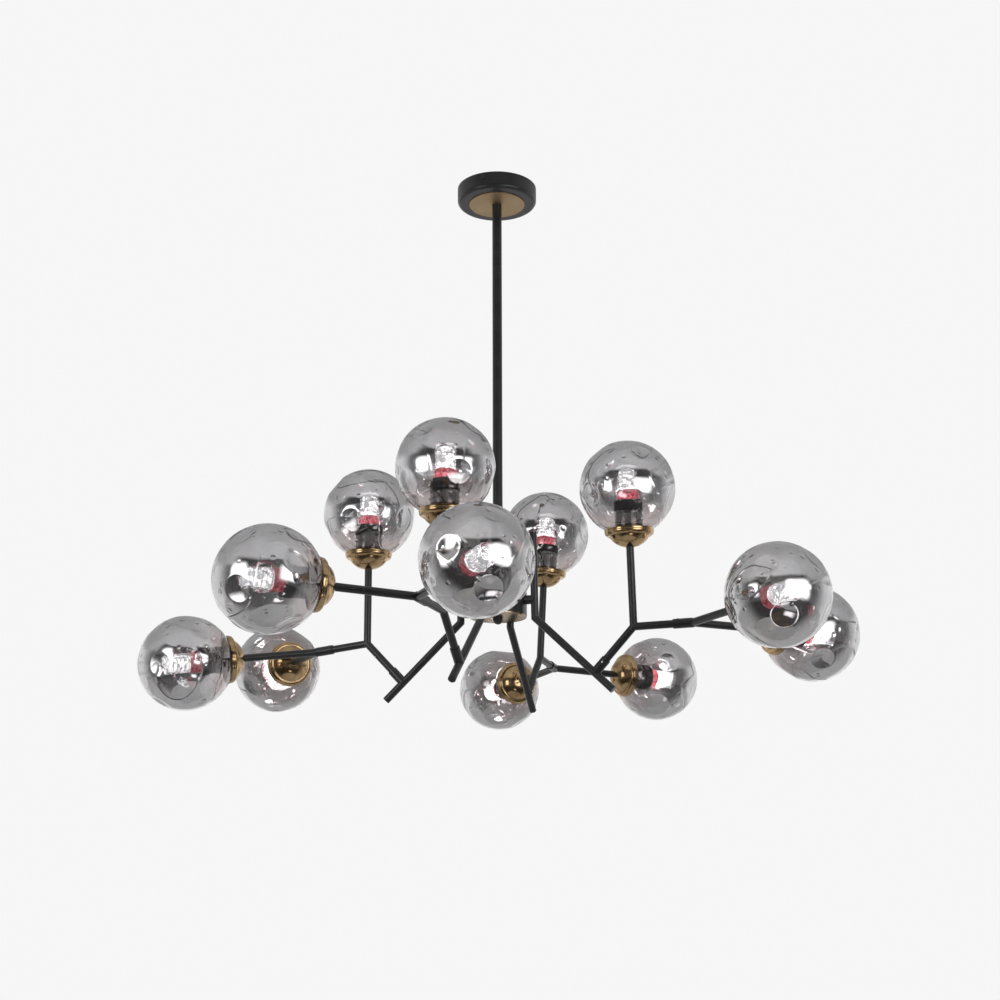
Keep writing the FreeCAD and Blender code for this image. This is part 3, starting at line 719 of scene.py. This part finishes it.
def press_dents(points, under):
    """Pushes the glass in at each dent and pinch, and gives it the faint waves of blowing."""
    out = points - np.array([0, 0, GLOBE_HEIGHT])
    way = out / np.linalg.norm(out, axis=1)[:, None]
    push = np.zeros(len(points))

    def away_from(azimuth, latitude):
        a, b = math.radians(azimuth), math.radians(latitude)
        middle = np.array([math.cos(b) * math.cos(a), math.cos(b) * math.sin(a), math.sin(b)])
        return np.arccos(np.clip(way @ middle, -1, 1))
    for azimuth, latitude, rim_r, depth in DENTS:
        reach = dent_reach(away_from(azimuth, latitude), rim_r, depth, under)
        push += GLOBE_R - under - reach
    for azimuth, latitude, radius, depth in PINCHES:
        near = away_from(azimuth, latitude) * GLOBE_R / radius
        push += depth * np.clip(1 - near ** 2, 0, 1) ** 1.5
    waves = (np.sin(way @ np.array([7.0, 3.0, 2.0]) + 1.0)
             + np.sin(way @ np.array([-3.0, 8.0, 4.0]))
             + np.sin(way @ np.array([2.0, -5.0, 9.0]) + 2.0))
    push += WAVE_DEPTH * (waves / 3 + 1)
    calm, free = CALM_NECK
    neck = np.clip((points[:, 2] - calm) / (free - calm), 0, 1)
    return points - way * (push * neck)[:, None]


def mark_globe_runs(skin):
    """Runs along the globe count from its neck on both faces, so that the shade lines up."""
    heights = [(skin.points[i, 2] - GLOBE_RUN_START) * MM for face in skin.faces for i in face]
    skin.marks = [(mark[0], height) for mark, height in zip(skin.marks, heights)]


def globe_skin():
    """Outside face, then the inside with its film, which grows denser in steps from the neck."""
    outside, inside = globe_outline()
    skin = Skin()
    face = skin.spun(outside, GLOBE_AROUND, finish=0)
    film = skin.spun(inside, GLOBE_AROUND, finish=1)
    mark_globe_runs(skin)
    lows = [min(skin.points[i, 2] for i in corners) for corners in skin.faces]
    steps = [sum(low > step for step, _ in FILM_STEPS) for low in lows]
    skin.finishes = [finish and step for finish, step in zip(skin.finishes, steps)]
    skin.points[face] = press_dents(skin.points[face], 0)
    skin.points[film] = press_dents(skin.points[film], GLOBE_WALL)
    return skin


def cup_skin():
    """Spun brass cup: bulged bowl, a groove, rounded lip and rolled rim."""
    run_r = CUP_BOWL[0] - CUP_COLLAR_R
    slope = math.hypot(run_r, CUP_BOWL[1])

    def bowl_middle(push):
        return ((CUP_COLLAR_R + CUP_BOWL[0]) / 2 + push * CUP_BOWL[1] / slope,
                CUP_BOWL[1] / 2 - push * run_r / slope)
    lip_middle = (CUP_BOWL[0] + (CUP_LIP[0] - CUP_BOWL[0]) * 0.75,
                  CUP_BOWL[1] + (CUP_LIP[1] - CUP_BOWL[1]) * 0.3)
    step = CUP_WALL * 0.7
    groove = (CUP_BOWL[0] - 0.1, CUP_BOWL[1] + 0.5)
    outline = [(CUP_HOLE_R, 0.0), (CUP_COLLAR_R - 0.6, 0.0)]
    outline += bow((CUP_COLLAR_R, 0.3), bowl_middle(CUP_BULGE), CUP_BOWL, 14)
    outline += [CUP_BOWL, groove, (groove[0] + 0.5, groove[1] + 0.1)]
    outline += bow((CUP_BOWL[0] + 1.2, CUP_BOWL[1] + 0.35), lip_middle, CUP_LIP, 10)
    outline += eased([CUP_LIP, (CUP_LIP[0] - 0.1, CUP_LIP[1] + 0.4), (CUP_RIM_R, CUP_LIP[1] + step),
                      (CUP_RIM_R, CUP_HEIGHT), (CUP_RIM_R - CUP_WALL, CUP_HEIGHT),
                      (CUP_RIM_R - CUP_WALL, CUP_LIP[1])], 0.5)
    outline += bow((CUP_RIM_R - CUP_WALL, CUP_LIP[1] - 0.1),
                   (lip_middle[0] - step, lip_middle[1] + step),
                   (CUP_BOWL[0] - step, CUP_BOWL[1] + step), 8)
    outline += bow((CUP_BOWL[0] - step, CUP_BOWL[1] + step), bowl_middle(CUP_BULGE - CUP_WALL),
                   (CUP_COLLAR_R, CUP_WALL), 12)
    outline += [(CUP_COLLAR_R, CUP_WALL), (CUP_HOLE_R, CUP_WALL)]
    skin = Skin()
    skin.ring(outline, 96)
    return skin


def skirt_skin():
    """Bright skirt of the lampholder, with rolled grooves."""
    foot, top = CUP_WALL, CUP_WALL + SKIRT_HEIGHT
    outer = [(CUP_HOLE_R, foot), (HOLDER_BASE_R, foot), (SKIRT_R, foot + HOLDER_SHOULDER)]
    for height in GROOVE_HEIGHTS:
        outer += [(SKIRT_R, height - GROOVE_HALF), (SKIRT_R - GROOVE_DEPTH, height),
                  (SKIRT_R, height + GROOVE_HALF)]
    outer += [(SKIRT_R, top - 0.05), (SOCKET_BORE_R + 1.2, top - 0.05),
              (SOCKET_BORE_R + 1.2, SEAT - SOCKET_DEPTH), (CUP_HOLE_R, SEAT - SOCKET_DEPTH)]
    skin = Skin()
    skin.ring(eased(outer, 0.7, closed=True), 72)
    return skin


def collar_skin():
    """Black collar of the lampholder, ribbed for grip, with a bevelled mouth."""
    low = CUP_WALL + SKIRT_HEIGHT
    outer = [(SOCKET_BORE_R, low), (COLLAR_R - 0.6, low), (COLLAR_R, low + 0.6),
             (COLLAR_R, low + 2.6), (COLLAR_R - 0.5, low + 3.2), (COLLAR_R - 0.5, SEAT - 3.2),
             (COLLAR_R, SEAT - 2.6), (COLLAR_R, SEAT - 0.8), (COLLAR_R - 0.8, SEAT),
             (SOCKET_BORE_R + 0.5, SEAT), (SOCKET_BORE_R, SEAT - 0.5)]
    skin = Skin()
    skin.ring(eased(outer, 0.25, steps=2, closed=True), 144)
    radius = np.hypot(skin.points[:, 0], skin.points[:, 1])
    angle = np.arctan2(skin.points[:, 1], skin.points[:, 0])
    inner = (skin.points[:, 2] > low + 3.0) & (skin.points[:, 2] < SEAT - 3.0) & (radius > 20)
    rib = np.where(inner, RIB_HEIGHT * (0.5 + 0.5 * np.cos(angle * COLLAR_RIBS)), 0.0)
    skin.points[:, :2] *= (1 + rib / np.maximum(radius, 1))[:, None]
    return skin


def cap_skin():
    """Screw cap of the bulb, down in the socket."""
    low = SEAT - CAP_LENGTH
    outline = [(0.0, low), (4.0, low), (5.0, low + 2.0), (CAP_R - 2.0, low + 4.0)]
    height = low + 5.0
    while height < SEAT - 1.5:
        outline += [(CAP_R - 0.9, height), (CAP_R - 0.3, height + CAP_PITCH / 2)]
        height += CAP_PITCH
    outline += [(CAP_R - 0.6, SEAT), (0.0, SEAT)]
    skin = Skin()
    skin.spun(eased(outline, 0.8), 48)
    return skin


def fluted(skin, count, depth, low, high):
    """Presses upright flutes into the side of a turned piece between two heights."""
    radius = np.hypot(skin.points[:, 0], skin.points[:, 1])
    angle = np.arctan2(skin.points[:, 1], skin.points[:, 0])
    height = skin.points[:, 2]
    ends = np.clip((height - low) / 1.5, 0, 1) * np.clip((high - height) / 1.5, 0, 1)
    outside = np.clip((radius - 8.0) / 4.0, 0, 1)
    cut = depth * (0.5 - 0.5 * np.cos(angle * count)) * ends * outside
    skin.points[:, :2] *= (1 - cut / np.maximum(radius, 1))[:, None]


def band_skin():
    """Red ribbed band of the bulb."""
    top = SEAT + BAND_HEIGHT
    rows = [(BAND_R, SEAT + 0.6 + i * (BAND_HEIGHT - 1.2) / 6) for i in range(7)]
    outline = [(0.0, SEAT + 0.02), (BAND_R - 0.6, SEAT + 0.02)] + rows
    outline += [(BAND_R - 0.6, top), (0.0, top)]
    skin = Skin()
    skin.spun(outline, 144)
    fluted(skin, BAND_FLUTES, 1.3, SEAT + 0.5, top - 0.5)
    return skin


def clear_skin():
    """Clear fluted body of the bulb, waved along its length, with a rounded end."""
    low, tip = SEAT + BAND_HEIGHT, SEAT + BAND_HEIGHT + CLEAR_HEIGHT
    rows = [(CLEAR_R - 0.35 - 0.35 * math.cos(i * math.pi / 3), low + 0.5 + i * 1.0)
            for i in range(int(CLEAR_HEIGHT - 6.0))]
    outline = [(0.0, low + 0.02), (CLEAR_R - 1.0, low + 0.02)] + rows
    outline += bow((CLEAR_R - 0.2, tip - 5.0), (CLEAR_R - 1.7, tip - 1.5), (CLEAR_R - 5.0, tip), 6)
    outline += [(CLEAR_R - 5.0, tip), (0.0, tip)]
    skin = Skin()
    skin.spun(outline, 144)
    fluted(skin, CLEAR_FLUTES, 1.0, low, tip - 2.0)
    return skin


def core_skin():
    """White column of small lights inside the clear part."""
    low, tip = SEAT + BAND_HEIGHT + 2.0, SEAT + BAND_HEIGHT + CLEAR_HEIGHT - 7.0
    skin = Skin()
    skin.spun(eased([(0.0, low), (CORE_R, low), (CORE_R, tip), (0.0, tip)], 1.5), 48)
    return skin


# name's end, skin, finishes, slot, the solid it stands for, and the angle that stays sharp
LAMP_PIECES = [
    ("_glass", globe_skin(), [GLASS_OUTSIDE] + GLASS_FILMS, "smoked_glass", "globe", 80),
    ("_spun_cup", cup_skin(), [CUP_BRASS], "polished_brass", "cup", 40),
    ("_holder_skirt", skirt_skin(), [SKIRT_NICKEL], "screw_steel", "holder", 40),
    ("_holder_collar", collar_skin(), [COLLAR_BLACK], "holder_black", "holder", 40),
    ("_bulb_cap", cap_skin(), [SCREW_STEEL], "screw_steel", "bulb", 40),
    ("_bulb_band", band_skin(), [RED_BAND], "bulb_clear", "bulb", 60),
    ("_bulb_clear", clear_skin(), [BULB_GLASS], "bulb_clear", "bulb", 60),
    ("_bulb_core", core_skin(), [LIT_CORE], "bulb_clear", "bulb", 40),
]


def make_lamp(name, place, body, nodes, turned_by):
    """All the pieces of one lamp, in its place on its tube, with its globe turned in its cup."""
    for ending, skin, finishes, slot, solid, sharp in LAMP_PIECES:
        turned = place @ turn((0, 0, 1), turned_by) if solid == "globe" else place
        make_piece(name + ending, skin, turned, finishes, body, [nodes[solid]], sharp)


def grub_screw(name, place, body):
    """Grub screw with a hexagon socket; Z points out of the sleeve."""
    skin = Skin()
    top, low = SLEEVE_R + 0.5, TUBE_R + 0.35
    skin.spun(eased([(0.0, low), (1.4, low), (1.4, top), (0.75, top), (0.75, top - 1.0),
                     (0.0, top - 1.0)], 0.15), 24)
    make_piece(name, skin, place, [SCREW_STEEL], body)


for arm in ARMS:
    top_nodes = {solid: arm + "_top_" + solid for solid in ("globe", "cup", "holder", "bulb")}
    make_lamp(arm + "_top_lamp", top_lamp_place(arm), arm + "_branch", top_nodes,
              GLOBE_TURNS[arm + "_top"])
    for letter, side in (("a", 1), ("b", -1)):
        fork_nodes = {solid: arm + "_fork_" + solid + "s" for solid in ("cup", "holder", "bulb")}
        fork_nodes["globe"] = arm + "_fork_globe_" + letter
        make_lamp(arm + "_fork_lamp_" + letter, fork_lamp_place(arm, side), arm + "_fork",
                  fork_nodes, GLOBE_TURNS[arm + "_" + letter])
    mouth = shift((-FORK_SLEEVE_LENGTH + GRUB_DEPTH, 0, 0))
    grub_screw(arm + "_sleeve_screw", fork_place(arm) @ mouth, arm + "_fork")


# ---------------------------------------------------------------- camera
CAMERA_PLACE = (0.8066, -2.2343, -1.2056)
CAMERA_AZIMUTH = 19.76
CAMERA_RISE = 15.385       # how far it looks up
CAMERA_ROLL = -0.17
CAMERA_LENS = 54.775
FILM_WIDTH = 36.0


def make_camera():
    """Camera of the photograph: from below and in front of the hub."""
    data = bpy.data.cameras.new("photo_camera")
    data.lens, data.sensor_width = CAMERA_LENS, FILM_WIDTH
    camera = bpy.data.objects.new("photo_camera", data)
    bpy.context.scene.collection.objects.link(camera)
    aim = (turn((0, 0, 1), CAMERA_AZIMUTH) @ turn((1, 0, 0), 90 + CAMERA_RISE)
           @ turn((0, 0, 1), CAMERA_ROLL))
    camera.matrix_world = shift(CAMERA_PLACE) @ aim
    bpy.context.scene.camera = camera
    bpy.context.scene.view_settings.view_transform = "Standard"


# ---------------------------------------------------------------- studio
PALE = grey(0.925)         # the backdrop, as the camera sees it
FILL = grey(0.36)          # what the room itself lights the chandelier with
SOFT_EDGE = 0.32           # of a softbox's width, over which its face darkens to the rim
SOFT_BOX_AWAY = 1.7
SOFT_BOX_AIM = (0, 0, -0.6)
TOWARDS_CAMERA = (0.334, -0.943, 0.0)
FLOOR_RADII = (1200.0, 600.0, 0.0)
FLOOR_LEVEL = -2600.0
FLOOR_FADE = (0.7, 1.15)   # metres from the middle where its edge turns into the backdrop


def straight_sight(tree):
    """1 until a ray has met a mirror, then 0."""
    return sums(tree, "LESS_THAN", wire(tree, "LightPath").outputs["Glossy Depth"], 0.5)


def lit_sight(tree):
    """1 for what the camera sees, also in metal and through glass, and 0 for the light itself."""
    path = wire(tree, "LightPath").outputs
    return sums(tree, "MAXIMUM", path["Is Camera Ray"],
                sums(tree, "MAXIMUM", path["Is Glossy Ray"], path["Is Transmission Ray"]))


def eased_step(tree, value, start, end):
    """0 at start and 1 at end, with a smooth run between them."""
    return wire(tree, "MapRange", {"Value": value, "From Min": start, "From Max": end},
                interpolation_type="SMOOTHSTEP").outputs[0]


def make_world():
    """Pale backdrop behind the chandelier, and the plain room that metal and glass mirror."""
    world = bpy.data.worlds.new("studio")
    bpy.context.scene.world = world
    world.use_nodes = True
    tree = world.node_tree
    tree.nodes.clear()
    way = wire(tree, "TexCoord").outputs["Generated"]
    front = wire(tree, "VectorMath", {0: way, 1: TOWARDS_CAMERA},
                 operation="DOT_PRODUCT").outputs["Value"]
    height = wire(tree, "SeparateXYZ", {0: way}).outputs["Z"]
    ceiling = blended(tree, eased_step(tree, front, -0.5, 0.9), grey(0.44), grey(0.70))
    walls = blended(tree, eased_step(tree, front, 0.30, -0.55), grey(0.14), PALE)
    below = blended(tree, eased_step(tree, front, -0.3, 0.35), grey(0.50), grey(0.05))
    room = blended(tree, eased_step(tree, height, -0.36, -0.30), below, walls)
    room = blended(tree, eased_step(tree, height, 0.28, 0.42), room, ceiling)
    gap = sums(tree, "MULTIPLY", eased_step(tree, front, 0.25, 0.6),
               sums(tree, "MULTIPLY", eased_step(tree, height, 0.22, 0.25),
                    eased_step(tree, height, 0.58, 0.47)))
    room = blended(tree, gap, room, grey(0.03))
    seen = blended(tree, straight_sight(tree), room, PALE)
    tint = blended(tree, lit_sight(tree), FILL, seen)
    back = wire(tree, "Background", {"Color": tint, "Strength": 1.0})
    out = wire(tree, "OutputWorld")
    tree.links.new(back.outputs[0], out.inputs[0])


def make_floor():
    """Round pale floor well under the chandelier; its edge fades into the backdrop."""
    material, tree, shader = new_finish("pale_floor", Base_Color=colour(0.86, 0.86, 0.855),
                                        Roughness=0.9, Specular_IOR_Level=0.1)
    point = wire(tree, "NewGeometry").outputs["Position"]
    flat = wire(tree, "VectorMath", {0: point, 1: (1, 1, 0)}, operation="MULTIPLY").outputs[0]
    reach = wire(tree, "VectorMath", {0: flat}, operation="LENGTH").outputs["Value"]
    fade = sums(tree, "MAXIMUM", eased_step(tree, reach, *FLOOR_FADE), 0.5)
    glow = wire(tree, "Emission", {"Color": PALE, "Strength": 1.0})
    shown = sums(tree, "MULTIPLY", sums(tree, "MULTIPLY", fade, straight_sight(tree)),
                 lit_sight(tree))
    mix = wire(tree, "MixShader", {0: shown})
    tree.links.new(shader.outputs[0], mix.inputs[1])
    tree.links.new(glow.outputs[0], mix.inputs[2])
    tree.links.new(mix.outputs[0], tree.nodes["Material Output"].inputs[0])
    skin = Skin()
    skin.spun([(radius, FLOOR_LEVEL) for radius in FLOOR_RADII], 96)
    mesh = bpy.data.meshes.new("studio_floor")
    mesh.from_pydata((skin.points * MM).tolist(), [], skin.faces)
    mesh.materials.append(material)
    floor = bpy.data.objects.new("studio_floor", mesh)
    bpy.context.scene.collection.objects.link(floor)


def soft_box(name, azimuth, elevation, width, height, brightness, tint=(1, 1, 1)):
    """Flat lamp that faces the chandelier; brightness is that of its middle, where 1 is white."""
    data = bpy.data.lights.new(name, "AREA")
    data.shape, data.size, data.size_y = "RECTANGLE", width, height
    data.energy = brightness * math.pi * width * height
    data.color = tint
    data.use_nodes = True
    tree = data.node_tree
    across = wire(tree, "SeparateXYZ", {0: wire(tree, "NewGeometry").outputs["Parametric"]})
    shares = []
    for side in (across.outputs["X"], across.outputs["Y"]):
        off_middle = sums(tree, "ABSOLUTE", sums(tree, "SUBTRACT", side, 0.5))
        inward = sums(tree, "SUBTRACT", 0.5, off_middle)
        shares.append(eased_step(tree, inward, 0.0, SOFT_EDGE))
    tree.links.new(sums(tree, "MULTIPLY", *shares), tree.nodes["Emission"].inputs["Strength"])
    lamp = bpy.data.objects.new(name, data)
    bpy.context.scene.collection.objects.link(lamp)
    lamp.matrix_world = (shift(SOFT_BOX_AIM) @ turn((0, 0, 1), azimuth)
                         @ turn((1, 0, 0), 90 - elevation) @ shift((0, 0, SOFT_BOX_AWAY)))
    lamp.visible_camera = False


make_camera()
make_world()
make_floor()
soft_box("right_softbox", 57.5, -3, 1.5, 1.1, 3.8)
soft_box("left_softbox", -28.5, -3, 0.95, 1.1, 3.8)
soft_box("low_softbox", 38, -50, 0.50, 0.30, 1.8, (1.0, 0.95, 0.97))
